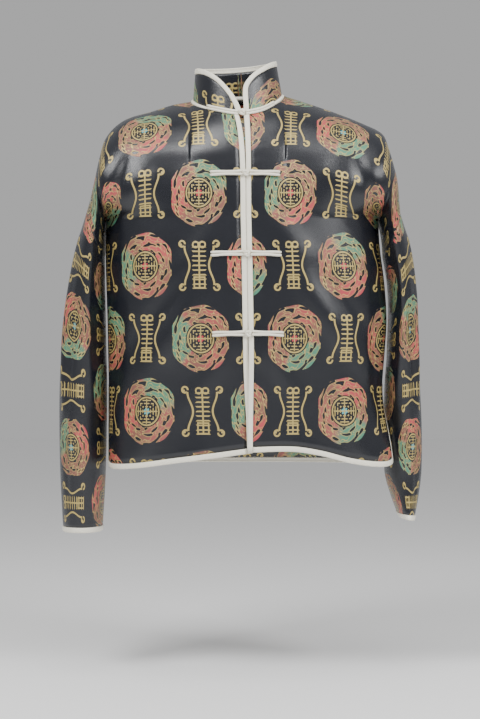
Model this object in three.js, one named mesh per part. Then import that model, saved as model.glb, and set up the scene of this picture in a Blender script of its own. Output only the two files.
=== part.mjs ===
// A man's tang jacket as it hangs on the body: a stand collar, a straight front closed by four
// corded frogs, shoulders and upper arms cut in one with the body, and a vent at each side.
// Millimetres, +Z up. The front faces -Y and +X is the wearer's left. The origin lies between
// the shoulders, at the level where they meet the neck. "down" is a depth below that level.
import * as THREE from "three";

const CLOTH = 2.0;        // body cloth with its lining
const BOUND = 3.0;        // cloth with a satin binding folded over it
const PROUD = 0.5;        // how far a binding stands above the cloth beside it
const GAP = 0.3;          // left open at every seam
const BINDING = 8.6;      // width of the satin binding
const ARMPIT = 298;       // cloth from the centre to the side seam
const SLEEVE_SEAM = 372;  // cloth from the centre to the seam across the upper arm
const CHEST_DOWN = 196;   // level of the armpits
const PIPING = 3.4;       // radius of the piping in the neck seam
const NECK_X = -12;       // the collar sits a little towards the wearer's right
const NECK_HALF = 73.5;   // half the neck's width, to the piping's middle
const NECK_FRONT = 74;    // from the neck's middle forward to the piping
const NECK_BACK = 68;
const NECK_CLEAR = PIPING + 2.1;  // from the piping's middle out to the edge of the cloth
const YOKE_ROWS = 9;
const FRONT = -1;
const BACK = 1;

const table = (names, lines) =>
  lines.map((line) => Object.fromEntries(names.map((name, i) => [name, line[i]])));

// Level of the neck seam round the neck: 0 degrees is the front, 90 the wearer's left.
const NECK_SEAM = table(["deg", "z"], [
  [-180, 12], [-135, 7], [-90, -3], [-50, -19], [-20, -30], [3, -35],
  [28, -29], [55, -12], [90, 6], [135, 13], [180, 12],
]);

// Half-widths of the body on the wearer's right and left, and its depths, by level.
const BODY = table(["down", "right", "left", "front", "back"], [
  [196, 228, 219, 115, 104],
  [245, 229, 222, 118, 102],
  [300, 228, 229, 119, 100],
  [361, 226, 233, 118, 100],
  [415, 225, 230, 116, 101],
  [467, 224, 226, 113, 103],
  [520, 224, 226, 111, 105],
  [620, 224, 229, 110, 108],
]);

// Where the two front edges lie, and how far the upper one stands off where they lap.
const EDGES = table(["down", "right", "left", "lift"], [
  [196, 1.3, 1.7, 0],
  [262, 2.8, 3.2, 0],
  [330, 3.9, 4.3, 0],
  [359, 4.4, 4.8, 0],
  [413, 5.2, 5.7, 3.9],
  [467, 6.9, 5.3, 4.0],
  [530, 10.4, 4.4, 4.0],
  [600, 12.5, 3.9, 4.0],
]);

// Each side: its sign in X, the shoulder and overarm line, the inner end of the seam across
// the arm, the hem's level along the front, and sections of the lower sleeve by the distance
// from that seam. "out" is the overarm line and "in" the underarm line.
const SECTION = ["run", "out", "outDown", "in", "inDown", "mid", "front", "back"];
const SIDES = {
  right: {
    sign: -1,
    ridge: table(["x", "down"], [
      [91, 3], [119, 8], [154, 19], [192, 30], [214, 45], [229, 66], [236, 92],
      [244, 128], [252, 162], [259, 187],
    ]),
    seamIn: { x: 232, down: 258 },
    hem: table(["s", "down"], [[0, 577], [50, 584], [115, 593], [190, 603], [250, 605], [298, 597]]),
    sleeve: table(SECTION, [
      [0, 259, 187, 232, 258, 0, 90, 88],
      [47, 276, 240, 232, 296, 4, 91, 88],
      [110, 290, 312, 231, 348, 7, 89, 86],
      [170, 300, 385, 230, 405, 9, 86, 84],
      [232, 305, 460, 228.5, 470, 10, 82, 80],
      [302, 306, 535, 229, 540, 10, 77, 76],
      [385, 304.5, 620, 231, 622, 10, 69, 68],
      [475, 300, 710, 236, 710, 10, 60, 59],
    ]),
    flare: { out: 0, forward: 0 },
  },
  left: {
    sign: 1,
    ridge: table(["x", "down"], [
      [67, -6], [108, 7], [155, 23], [196, 40], [226, 57], [235, 80], [243, 108],
      [249, 133], [252, 163], [254, 188],
    ]),
    seamIn: { x: 229, down: 262 },
    hem: table(["s", "down"], [[0, 576], [76, 575], [126, 582], [185, 596], [240, 601], [298, 594]]),
    sleeve: table(SECTION, [
      [0, 254, 188, 229, 262, 0, 90, 88],
      [46, 270, 238, 236, 300, 6, 88, 88],
      [108, 280, 312, 240, 352, 12, 84, 86],
      [165, 284, 385, 238, 408, 17, 80, 84],
      [232, 289, 460, 233, 470, 20, 74, 80],
      [302, 293, 535, 232, 540, 22, 67, 78],
      [378, 293, 613, 233, 615, 24, 61, 74],
      [417, 288, 653, 243, 653, 24, 62, 72],
      [455, 280, 692, 256, 688, 22, 66, 70],
    ]),
    flare: { out: 13, forward: 24 },
  },
};
const RIGHT = SIDES.right;
const LEFT = SIDES.left;

// The collar's top edge by angle round the neck, from the wearer's right front to the left.
const COLLAR_TOP = {
  right: table(["deg", "z"], [
    [5, -31], [4.5, -24], [1, -12], [-7, 5], [-24, 27], [-44, 41], [-66, 48], [-92, 51],
    [-132, 58], [-180, 63],
  ]),
  left: table(["deg", "z"], [
    [8, -31], [8.5, -17], [8.5, 0], [11.5, 17], [24, 34], [43, 48], [64, 58], [92, 64],
    [132, 66], [180, 63],
  ]),
};

const FROGS = table(["name", "down"], [["chest", 131], ["waist", 259], ["lower", 386]]);
const STRAP_LENGTH = 52;
const STRAP_WIDTH = 9;
const KNOT = 5.8;         // radius of a button knot

const cloths = {
  brocade: new THREE.MeshStandardMaterial({ color: 0x1a1b22, roughness: 0.38 }),
  satin: new THREE.MeshStandardMaterial({ color: 0xf0ebd8, roughness: 0.5 }),
};

const group = new THREE.Group();
const V = (x, y, z) => new THREE.Vector3(x, y, z);
const clamp = (x) => Math.min(Math.max(x, 0), 1);
const mix = (a, b, t) => a + (b - a) * t;
const smooth = (x) => clamp(x) ** 2 * (3 - 2 * clamp(x));
const radians = (deg) => (deg * Math.PI) / 180;
const steps = (from, to, count) =>
  Array.from({ length: count + 1 }, (_, i) => mix(from, to, i / count));

// A smooth curve through a table's rows, read at one value of the column `key`.
function read(rows, key, at, column) {
  const last = rows.length - 1;
  let i = 0;
  while (i < last - 1 && at > rows[i + 1][key]) i += 1;
  const slope = (j) => {
    const a = rows[Math.max(j - 1, 0)];
    const b = rows[Math.min(j + 1, last)];
    return (b[column] - a[column]) / (b[key] - a[key]);
  };
  const span = rows[i + 1][key] - rows[i][key];
  const t = clamp((at - rows[i][key]) / span);
  const [t2, t3] = [t * t, t * t * t];
  return (2 * t3 - 3 * t2 + 1) * rows[i][column] + (t3 - 2 * t2 + t) * span * slope(i)
    + (3 * t2 - 2 * t3) * rows[i + 1][column] + (t3 - t2) * span * slope(i + 1);
}

// ---- the neck -------------------------------------------------------------------------

// The neck seam, moved out from the neck by `out`.
function neck(deg, out) {
  const turn = radians(deg);
  const depth = Math.cos(turn) > 0 ? NECK_FRONT : NECK_BACK;
  return V(
    NECK_X + (NECK_HALF + out) * Math.sin(turn),
    -(depth + out) * Math.cos(turn),
    read(NECK_SEAM, "deg", deg, "z"),
  );
}

// ---- the body's surface -----------------------------------------------------------------

// Distance along the shoulder and overarm line, counted from the centre of the body.
for (const side of [RIGHT, LEFT]) {
  side.ridge[0].run = side.ridge[0].x;
  for (let i = 1; i < side.ridge.length; i += 1) {
    const [a, b] = [side.ridge[i - 1], side.ridge[i]];
    b.run = a.run + Math.hypot(b.x - a.x, b.down - a.down);
  }
}

// One quarter of the body's section at the chest: a rounded rectangle, by angle.
const SQUARE = { [FRONT]: 2.7, [BACK]: 2.5 };
function section(face, half, depth, turn) {
  const power = 2 / SQUARE[face];
  const across = half * Math.sign(turn) * Math.abs(Math.sin(turn)) ** power;
  return [across, face * depth * Math.cos(turn) ** power];
}

// The angle that lies `s` of cloth away from the centre, out of ARMPIT.
const TURNS = {};
for (const face of [FRONT, BACK]) {
  let run = 0;
  let before = section(face, 225, 110, 0);
  TURNS[face] = steps(0, Math.PI / 2, 90).map((turn) => {
    const here = section(face, 225, 110, turn);
    run += Math.hypot(here[0] - before[0], here[1] - before[1]);
    before = here;
    return { turn, run };
  });
}
function turnAt(face, s) {
  const turns = TURNS[face];
  const wanted = (Math.abs(s) / ARMPIT) * turns.at(-1).run;
  const i = Math.max(turns.findIndex((row) => row.run >= wanted - 1e-9), 1);
  const [a, b] = [turns[i - 1], turns[i]];
  return Math.sign(s) * mix(a.turn, b.turn, clamp((wanted - a.run) / (b.run - a.run)));
}

// A point of the body below the armpits. The two fronts part at their edges, the left one
// standing off where it laps, and each vent opens downwards.
const VENT_DOWN = 470;
function torso(face, side, s, down) {
  const name = side === RIGHT ? "right" : "left";
  const half = read(BODY, "down", down, name);
  const depth = read(BODY, "down", down, face === FRONT ? "front" : "back");
  let [x, y] = section(face, half, depth, turnAt(face, s));
  x *= side.sign;
  const opening = smooth((down - VENT_DOWN) / 130) * smooth((Math.abs(s) - 150) / (ARMPIT - 150));
  y += face * 3 * opening;
  if (face === FRONT) {
    x += read(EDGES, "down", down, name) * (1 - smooth(s / 180));
    x += side.sign * side.flare.out * opening;
    y -= side.flare.forward * opening;
    if (side === LEFT) y -= read(EDGES, "down", down, "lift") * (1 - smooth((s - 12) / 60));
  }
  return V(x, y, -down);
}

// Where a thread that runs down the cloth starts: on the neck seam, the shoulder or overarm.
function top(face, side, s) {
  const start = side.ridge[0].x;
  if (s < start) {
    const centre = face === BACK ? -6 : side === RIGHT ? -10 : -2;
    const out = NECK_CLEAR;
    const x = mix(centre, side.sign * start, s / start);
    const sine = Math.min(Math.max((x - NECK_X) / (NECK_HALF + out), -1), 1);
    const turn = (Math.asin(sine) * 180) / Math.PI;
    const deg = face === FRONT ? turn : Math.sign(turn || 1) * 180 - turn;
    return neck(deg, out);
  }
  return V(side.sign * read(side.ridge, "run", s, "x"), 0, -read(side.ridge, "run", s, "down"));
}

// Where it ends: on the section at the armpits, or beyond the armpit on the underarm line.
function bottom(face, side, s) {
  if (s <= ARMPIT) return torso(face, side, s, CHEST_DOWN);
  const part = (s - ARMPIT) / (SLEEVE_SEAM - ARMPIT);
  const pit = torso(BACK, side, ARMPIT, CHEST_DOWN);
  return V(
    mix(pit.x, side.sign * side.seamIn.x, 1 - (1 - part) ** 2),
    0,
    -mix(CHEST_DOWN, side.seamIn.down, part),
  );
}

// Over the chest the cloth slopes forward off the shoulder and then falls straight.
const SLOPE = { [FRONT]: [0.6, 0.15, 1.02, 0.3], [BACK]: [0.5, 0.08, 1.0, 0.4] };
function yoke(face, from, to, t) {
  const [ax, az, bx, bz] = SLOPE[face];
  const [p, q, r] = [3 * t * (1 - t) ** 2, 3 * t * t * (1 - t), t ** 3];
  const level = p * ax + q * bx + r;
  return V(mix(from.x, to.x, level), mix(from.y, to.y, level), mix(from.z, to.z, p * az + q * bz + r));
}

// Round the arm it makes a half loop, from the overarm line to the underarm line.
function halfLoop(from, to, depth, t) {
  const down = (1 - Math.cos(Math.PI * t)) / 2;
  const point = from.clone().lerp(to, down);
  point.y += depth * Math.sin(Math.PI * t) ** 0.85;
  return point;
}

// The body's outer surface. `row` is 0 at the top, 1 at the armpits and 2 at the hem; its last
// tenth is the HEM_BAND above the hem. Front and back stay a seam's gap apart.
const HEM_BAND = 40;
function body(face, side, s, row) {
  let point;
  if (row <= 1) {
    const [from, to] = [top(face, side, s), bottom(face, side, s)];
    const arm = smooth((s - side.ridge[0].x) / (ARMPIT - side.ridge[0].x));
    const depth = face * mix(96, face === FRONT ? 90 : 88, clamp((s - ARMPIT) / 74));
    point = yoke(face, from, to, row).lerp(halfLoop(from, to, depth, row), arm);
  } else {
    const hem = face === FRONT ? read(side.hem, "s", s, "down") : 603 - 6 * smooth((s - 200) / 98);
    const band = hem - HEM_BAND;
    const down = row < 1.9 ? mix(CHEST_DOWN, band, (row - 1) / 0.9) : band + (row - 1.9) * 10 * HEM_BAND;
    point = torso(face, side, s, down);
  }
  point.y += (face * GAP) / 2;
  return point;
}

// The direction straight out of the body's cloth. At a seam it stays in the seam's plane.
function bodyNormal(face, side, s, row) {
  const at = (a, b) => body(face, side, a, b);
  const [s0, s1] = [Math.max(s - 3, row > 1 ? -20 : 0), Math.min(s + 3, row > 1 ? ARMPIT : SLEEVE_SEAM)];
  const [r0, r1] = [Math.max(row - 0.015, 0), Math.min(row + 0.015, s > ARMPIT ? 1 : 2)];
  const along = at(s1, row).sub(at(s0, row));
  const across = at(s, r1).sub(at(s, r0));
  const normal = along.cross(across).multiplyScalar(face * side.sign);
  const onRidge = row === 0 && s >= side.ridge[0].x - 12;
  const onSideSeam = (s >= ARMPIT - 1e-6 && row >= 1);
  if (onRidge || onSideSeam) normal.y = 0;
  if (s === SLEEVE_SEAM) normal.projectOnPlane(seamPlane(side));
  return normal.normalize();
}

// The plane of the seam across the upper arm, facing down the sleeve.
function seamPlane(side) {
  const first = side.sleeve[0];
  const across = V(side.sign * (first.in - first.out), 0, first.outDown - first.inDown);
  const plane = across.cross(V(0, side.sign, 0)).normalize();
  return plane.z > 0 ? plane.negate() : plane;
}

// ---- the lower sleeves --------------------------------------------------------------------

// `round` is 0 at the overarm line, a half at the underarm line, and passes the front first.
function sleeve(side, round, run) {
  const at = (column) => read(side.sleeve, "run", run, column);
  const from = V(side.sign * at("out"), 0, -at("outDown"));
  const to = V(side.sign * at("in"), 0, -at("inDown"));
  const isFront = round < 0.5;
  const t = isFront ? round * 2 : 2 - round * 2;
  const point = halfLoop(from, to, isFront ? -at("front") : at("back"), t);
  point.y += at("mid");
  return point.addScaledVector(seamPlane(side), GAP * (1 - smooth(run / 30)));
}

function sleeveNormal(side, round, run) {
  const wrap = (x) => (x + 1) % 1;
  const last = side.sleeve.at(-1).run;
  const around = sleeve(side, wrap(round + 0.01), run).sub(sleeve(side, wrap(round - 0.01), run));
  const along = sleeve(side, round, Math.min(run + 4, last)).sub(sleeve(side, round, Math.max(run - 4, 0)));
  const normal = around.cross(along).multiplyScalar(side.sign);
  if (run === 0) normal.projectOnPlane(seamPlane(side));
  return normal.normalize();
}

// ---- closed walls ---------------------------------------------------------------------------

// A wall between two grids of points, over the cells that `keep` leaves in. Edges with a cell
// on one side only are closed.
function wall(name, material, outer, inner, keep = () => true, wraps = false) {
  const [columns, rows] = [outer.length, outer[0].length];
  const positions = [];
  for (const grid of [outer, inner]) {
    for (const column of grid) for (const p of column) positions.push(p.x, p.y, p.z);
  }
  const id = (i, j) => (i % columns) * rows + j;
  const below = columns * rows;
  const index = [];
  const edges = new Map();
  const face = (a, b, c, d) => index.push(a, b, c, a, c, d);
  for (let i = 0; i < columns - (wraps ? 0 : 1); i += 1) {
    for (let j = 0; j < rows - 1; j += 1) {
      if (!keep(i, j)) continue;
      const ring = [id(i, j), id(i + 1, j), id(i + 1, j + 1), id(i, j + 1)];
      face(...ring);
      face(...ring.map((k) => k + below).reverse());
      ring.forEach((a, k) => edges.set(`${a},${ring[(k + 1) % 4]}`, [a, ring[(k + 1) % 4]]));
    }
  }
  for (const [a, b] of edges.values()) {
    if (!edges.has(`${b},${a}`)) face(b, a, a + below, b + below);
  }
  const used = [...new Set(index)];
  const places = new Map(used.map((k, i) => [k, i]));
  const kept = used.flatMap((k) => positions.slice(3 * k, 3 * k + 3));
  const renumbered = index.map((k) => places.get(k));
  let volume = 0;
  for (let k = 0; k < renumbered.length; k += 3) {
    const [a, b, c] = [0, 1, 2].map((m) => V(0, 0, 0).fromArray(kept, 3 * renumbered[k + m]));
    volume += a.dot(b.cross(c));
  }
  if (volume < 0) renumbered.reverse();
  const geometry = new THREE.BufferGeometry();
  geometry.setAttribute("position", new THREE.Float32BufferAttribute(kept, 3));
  geometry.setIndex(renumbered);
  geometry.computeVertexNormals();
  const mesh = new THREE.Mesh(geometry, cloths[material].clone());
  mesh.name = name;
  group.add(mesh);
}

// The same, from a surface and its normal: `out` above the surface and `thick` deep.
function cloth(name, material, place, normal, columns, rows, out, thick, keep, wraps) {
  const grid = (offset) =>
    columns.map((u) => rows.map((v) => place(u, v).addScaledVector(normal(u, v), offset)));
  wall(name, material, grid(out), grid(out - thick), keep, wraps);
}

// ---- the panels -----------------------------------------------------------------------------

const VENT_ROW = 1.68;
const hemRow = (height) => 2 - height / (10 * HEM_BAND);
const yokeRows = steps(0, 1, YOKE_ROWS);
const bodyRows = [...yokeRows, ...steps(1, VENT_ROW, 5).slice(1), 1.79, 1.9];
const innerHem = hemRow(BINDING + GAP);
const innerVent = ARMPIT - BINDING - GAP;

// Columns of cloth on one side, from `first` out to the seam across the arm.
const neckColumns = (side, first) => {
  const start = side.ridge[0].x;
  const rise = (s) => Math.asin(s / start);
  return steps(rise(first), Math.PI / 2, 6).map((turn) => start * Math.sin(turn));
};
const bodyColumns = (side, first) => [
  ...neckColumns(side, first),
  ...steps(side.ridge[0].x, innerVent, 8).slice(1),
  ...steps(ARMPIT, SLEEVE_SEAM, 3),
];

// Above the armpits every cell is there; below them the arm's are not, and beside the vent
// the cloth stops short of its binding.
function inPanel(columns, rows) {
  return (i, j) => {
    const s = Math.max(Math.abs(columns[i]), Math.abs(columns[i + 1]));
    const row = rows[j + 1];
    if (row <= 1) return true;
    return s <= innerVent + 1e-6 || (s <= ARMPIT && row <= VENT_ROW + 1e-6);
  };
}

for (const side of [RIGHT, LEFT]) {
  const name = side === RIGHT ? "right" : "left";
  const columns = bodyColumns(side, BINDING + GAP);
  const rows = [...bodyRows, innerHem];
  cloth(`front_${name}`, "brocade",
    (s, row) => body(FRONT, side, s, row), (s, row) => bodyNormal(FRONT, side, s, row),
    columns, rows, 0, CLOTH, inPanel(columns, rows));
  cloth(`front_binding_${name}`, "satin",
    (s, row) => body(FRONT, side, s, row), (s, row) => bodyNormal(FRONT, side, s, row),
    [0, BINDING / 2, BINDING], [...bodyRows, 2], PROUD, BOUND);
}

// The back runs from one arm seam to the other: its columns are counted from the centre,
// those on the wearer's right as negative numbers.
const onBack = (s) => [BACK, s < 0 ? RIGHT : LEFT, Math.abs(s)];
const backPlace = (s, row) => body(...onBack(s), row);
const backNormal = (s, row) => bodyNormal(...onBack(s), row);
const backColumns = [
  ...bodyColumns(RIGHT, 0).map((s) => -s).reverse().slice(0, -1),
  ...bodyColumns(LEFT, 0),
];
const backRows = [...bodyRows, innerHem];
cloth("back", "brocade", backPlace, backNormal, backColumns, backRows, 0, CLOTH,
  inPanel(backColumns, backRows));

// The hem's binding turns the corner and runs up the vent.
const ventTop = VENT_ROW + 0.001;
const hemRows = [ventTop, 1.79, 1.9, hemRow(BINDING), 2];
function inHem(columns) {
  return (i, j) => {
    const s = Math.min(Math.abs(columns[i]), Math.abs(columns[i + 1]));
    return hemRows[j] >= hemRow(BINDING) || s >= ARMPIT - BINDING - 1e-6;
  };
}
const hemColumns = (side, first) => [
  ...bodyColumns(side, first).filter((s) => s < innerVent - 1),
  ARMPIT - BINDING,
  ARMPIT,
];
for (const side of [RIGHT, LEFT]) {
  const name = side === RIGHT ? "right" : "left";
  const columns = hemColumns(side, BINDING + GAP);
  cloth(`hem_binding_front_${name}`, "satin",
    (s, row) => body(FRONT, side, s, row), (s, row) => bodyNormal(FRONT, side, s, row),
    columns, hemRows, PROUD, BOUND, inHem(columns));
}
const backHem = [
  ...hemColumns(RIGHT, 0).map((s) => -s).reverse().slice(0, -1),
  ...hemColumns(LEFT, 0),
];
cloth("hem_binding_back", "satin", backPlace, backNormal, backHem, hemRows, PROUD, BOUND,
  inHem(backHem));

// ---- the sleeves ----------------------------------------------------------------------------

for (const side of [RIGHT, LEFT]) {
  const name = side === RIGHT ? "right" : "left";
  const length = side.sleeve.at(-1).run;
  const round = steps(0, 1, 20).slice(0, -1);
  const place = (around, run) => sleeve(side, around, run);
  const normal = (around, run) => sleeveNormal(side, around, run);
  cloth(`sleeve_${name}`, "brocade", place, normal, round,
    steps(0, length - BINDING - GAP, 8), 0, CLOTH, undefined, true);
  cloth(`cuff_binding_${name}`, "satin", place, normal, round,
    [length - BINDING, length], PROUD, BOUND, undefined, true);
}

// ---- the placket ----------------------------------------------------------------------------

// It hangs behind both bindings, fixed to the right front and reaching past its edge.
const PLACKET_DEPTH = PROUD - BOUND - 1.4;
cloth("placket", "brocade",
  (s, row) => (row <= 1 && s < 0
    ? body(FRONT, RIGHT, 0, row).setX(body(FRONT, RIGHT, 0, row).x - s)
    : body(FRONT, RIGHT, s, row)),
  (s, row) => bodyNormal(FRONT, RIGHT, Math.max(s, 0), row),
  [-22, -11, 0, 11, 22], [0.05, ...bodyRows.slice(1), hemRow(14)], PLACKET_DEPTH, CLOTH);

// ---- the collar -----------------------------------------------------------------------------

// The band leans in as it rises from the neck seam. `high` is counted from the seam.
function band(deg, high) {
  const foot = neck(deg, 0);
  const lean = high / 60;
  const turn = radians(deg);
  const depth = Math.cos(turn) > 0 ? NECK_FRONT : NECK_BACK;
  return V(
    mix(foot.x, NECK_X - 3 + (NECK_HALF - 7.5) * Math.sin(turn), lean),
    mix(foot.y, -(depth - 8) * Math.cos(turn), lean),
    foot.z + high,
  );
}

function bandNormal(deg, high) {
  const across = band(deg + 1, high).sub(band(deg - 1, high));
  return across.cross(band(deg, high + 1).sub(band(deg, high - 1))).normalize();
}

// The edge of the band as points of its own flat length and height, and the line where the
// binding ends inside it. Each column of the band climbs to one point of that line.
const FLAT = radians(1) * 70;
const COLLAR_FOOT = PIPING + 0.5;
const heightAt = (deg, z) => z - neck(deg, 0).z;
function collarColumns(rows) {
  const count = 15;
  const along = rows.map((row, i) => ({ ...row, at: i / (rows.length - 1) }));
  const edgeAt = (t) => {
    const deg = read(along, "at", t, "deg");
    return [deg, Math.max(heightAt(deg, read(along, "at", t, "z")), COLLAR_FOOT)];
  };
  return steps(0, 1, count).map((t) => {
    const edge = edgeAt(t);
    const [a, b] = [edgeAt(Math.max(t - 0.02, 0)), edgeAt(Math.min(t + 0.02, 1))];
    const way = [(b[0] - a[0]) * FLAT, b[1] - a[1]];
    const size = Math.hypot(...way);
    const turned = Math.sign(rows.at(-1).deg);
    const inward = [(way[1] / size) * turned, -Math.abs(way[0] / size)];
    const inset = (width) => [
      edge[0] + (inward[0] * width) / FLAT,
      Math.max(edge[1] + inward[1] * width, COLLAR_FOOT),
    ];
    return { edge, line: inset(BINDING), panel: inset(BINDING + GAP) };
  });
}
const collar = [
  ...collarColumns(COLLAR_TOP.right),
  ...collarColumns(COLLAR_TOP.left).reverse().slice(1),
];
const bandGrid = (columns, depth) =>
  columns.map((column) => column.map(([deg, high]) =>
    band(deg, high).addScaledVector(bandNormal(deg, high), depth)));

const panelColumns = collar.slice(2, -2).map(({ panel: [deg, high] }) =>
  steps(COLLAR_FOOT, high, 3).map((level) => [deg, level]));
wall("collar", "brocade", bandGrid(panelColumns, 0), bandGrid(panelColumns, -CLOTH));
const edgeColumns = collar.map(({ line, edge }) => [line, [mix(line[0], edge[0], 0.5), mix(line[1], edge[1], 0.5)], edge]);
wall("collar_binding", "satin", bandGrid(edgeColumns, PROUD), bandGrid(edgeColumns, PROUD - BOUND));

// ---- the piping in the neck seam --------------------------------------------------------------

const PIPING_SIDES = 8;
function pipingRing(deg, radius) {
  const centre = neck(deg, 0);
  const out = neck(deg, 1).sub(centre).normalize();
  return steps(0, 2 * Math.PI, PIPING_SIDES).slice(0, -1).map((turn) =>
    centre.clone().addScaledVector(out, radius * Math.cos(turn)).add(V(0, 0, radius * Math.sin(turn))));
}
const pipingStops = steps(7, 360 + 2, 32).map((deg) => (deg > 180 ? deg - 360 : deg));
const pipingRings = pipingStops.map((deg) => pipingRing(deg, PIPING));
const pipingCore = pipingStops.map((deg) => pipingRing(deg, PIPING * 0.3));
const ringsAsColumns = (rings) => steps(0, PIPING_SIDES - 1, PIPING_SIDES - 1).map((k) =>
  rings.map((ring) => ring[Math.round(k)]));
wall("neck_piping", "satin", ringsAsColumns(pipingRings), ringsAsColumns(pipingCore), undefined, true);

// ---- the frogs ------------------------------------------------------------------------------

// A strap is two cords side by side, drawn as two ridges on a flat back.
const CORD_PROFILE = table(["across", "high"], [[-0.5, 0.7], [-0.25, 2.4], [0, 1.0], [0.25, 2.4], [0.5, 0.7]]);
const STRAP_FOOT = PROUD + GAP + 0.1;
function strap(name, place) {
  const along = steps(0, 1, 6);
  const grid = (high) => CORD_PROFILE.map((cord) => along.map((t) =>
    place(t, cord.across * STRAP_WIDTH, STRAP_FOOT + (high ? cord.high : 0))));
  wall(name, "satin", grid(true), grid(false));
}

// A button knot: a round knot a little flattened, with the turns of its cord showing.
function knot(name, centre, out) {
  const geometry = new THREE.SphereGeometry(KNOT, 12, 8);
  const place = geometry.getAttribute("position");
  for (let i = 0; i < place.count; i += 1) {
    const p = V(0, 0, 0).fromBufferAttribute(place, i);
    const turn = Math.atan2(p.z, p.x);
    const rib = 1 + 0.05 * Math.cos(3 * turn) * (1 - (p.y / KNOT) ** 2);
    place.setXYZ(i, p.x * rib, p.y * 0.62, p.z * rib);
  }
  const mesh = new THREE.Mesh(geometry, cloths.satin.clone());
  mesh.name = name;
  mesh.quaternion.setFromUnitVectors(V(0, -1, 0), out);
  mesh.position.copy(centre);
  group.add(mesh);
}

// The row of the front where its surface reaches a level.
function rowAt(side, s, down) {
  let [low, high] = [0, 2];
  for (let i = 0; i < 40; i += 1) {
    const middle = (low + high) / 2;
    if (-body(FRONT, side, s, middle).z < down) low = middle;
    else high = middle;
  }
  return (low + high) / 2;
}

const STRAP_START = KNOT + 0.7;
const KNOT_HEIGHT = PROUD + GAP + KNOT * 0.62 + 0.1;
for (const { name, down } of FROGS) {
  for (const side of [RIGHT, LEFT]) {
    strap(`frog_${name}_${side === RIGHT ? "right" : "left"}`, (t, across, high) => {
      const s = STRAP_START + t * STRAP_LENGTH;
      const row = rowAt(side, s, down + across + 1.5 * t);
      return body(FRONT, side, s, row).addScaledVector(bodyNormal(FRONT, side, s, row), high);
    });
  }
  const row = rowAt(LEFT, 0, down + 1);
  const out = bodyNormal(FRONT, LEFT, 0, row);
  knot(`frog_${name}_knot`, body(FRONT, LEFT, 0, row).addScaledVector(out, KNOT_HEIGHT), out);
}

// At the neck the straps follow the seam, over the piping.
const NECK_KNOT_DEG = 5;
const degOf = (s) => s / FLAT;
for (const side of [RIGHT, LEFT]) {
  strap(`frog_neck_${side === RIGHT ? "right" : "left"}`, (t, across, high) => {
    const deg = NECK_KNOT_DEG + side.sign * degOf(STRAP_START + t * (STRAP_LENGTH - 4));
    const point = neck(deg, PIPING + GAP + high - STRAP_FOOT + 0.6);
    point.z += 4.6 - across * 0.75;
    return point;
  });
}
const outOfNeck = neck(NECK_KNOT_DEG, 1).sub(neck(NECK_KNOT_DEG, 0)).normalize();
const neckKnotPlace = neck(NECK_KNOT_DEG, PIPING + KNOT_HEIGHT).add(V(0, 0, 4.6));
knot("frog_neck_knot", neckKnotPlace, outOfNeck);

export default group;
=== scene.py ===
"""A man's tang jacket: satin brocade on the form of its CAD panels, with ivory bindings and
corded frogs. Lengths are in millimetres until mesh() turns them into metres. "down" is a depth
below the points where the shoulders meet the neck, and "s" is cloth counted from the centre."""
import math

import bpy
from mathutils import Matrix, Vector


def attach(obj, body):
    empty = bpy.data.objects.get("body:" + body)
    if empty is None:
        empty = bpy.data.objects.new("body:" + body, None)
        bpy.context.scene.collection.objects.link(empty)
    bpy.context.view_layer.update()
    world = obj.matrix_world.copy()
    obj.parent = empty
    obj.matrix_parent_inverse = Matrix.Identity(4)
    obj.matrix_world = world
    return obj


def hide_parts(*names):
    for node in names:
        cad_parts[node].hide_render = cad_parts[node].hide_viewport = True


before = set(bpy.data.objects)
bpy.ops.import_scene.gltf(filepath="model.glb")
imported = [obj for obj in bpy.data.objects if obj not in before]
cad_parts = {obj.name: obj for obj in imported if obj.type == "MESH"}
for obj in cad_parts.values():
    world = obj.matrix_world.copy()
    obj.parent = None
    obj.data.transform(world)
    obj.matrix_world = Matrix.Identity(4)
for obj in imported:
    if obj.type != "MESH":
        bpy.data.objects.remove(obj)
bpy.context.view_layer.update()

# ---- camera -------------------------------------------------------------------------------

camera_data = bpy.data.cameras.new("Camera")
camera = bpy.data.objects.new("Camera", camera_data)
bpy.context.collection.objects.link(camera)
camera.location = (-0.008, -3.0, -0.428)
camera.rotation_euler = (math.radians(90), 0, 0)
camera_data.sensor_fit = "VERTICAL"
camera_data.sensor_height = 36
camera_data.lens = 91
bpy.context.scene.camera = camera

# ---- sizes ----------------------------------------------------------------------------------

MM = 0.001
FRONT, BACK = -1, 1

CLOTH = 2.0              # the wall of a lined panel
BINDING = 8.6            # how wide the satin bindings are
BINDING_WALL = 2.6
PROUD = 0.5              # a binding stands this far above its panel
SEAM = 0.3               # left between two pieces that are sewn together
SHOULDER_SEAM = 0.15     # left on each side of the shoulder seam
SEAM_FADE = 30           # what a sleeve does at its seam dies out over this much cloth
EDGE = 9                 # where a front panel starts, inside its binding

ARMPIT = 298
SLEEVE_SEAM = 372
CHEST_DOWN = 196
SHOULDER_DEPTH = 96
ARM_DEPTH = {FRONT: 90, BACK: 88}

PIPING = 3.4
NECK_CLEAR = PIPING + 2.1
NECK_X = -12
NECK_HALF = 73.5
NECK_FRONT = 74
NECK_BACK = 68
TOP_CENTRE = {"right": -10, "left": -2, "back": -6}   # x of each panel's edge at the neck

BAND_ROW = 1.9           # the hem's band runs from this row to row 2
HEM_BAND = 40
PER_ROW = 10 * HEM_BAND  # millimetres to a whole row, inside the band
BACK_HEM, BACK_HEM_RISE, BACK_HEM_TURN = 603, 6, 200
VENT_DOWN, VENT_LENGTH, VENT_SPREAD, VENT_GAPE = 470, 130, 150, 3
VENT_ROW = 1.68

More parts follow.
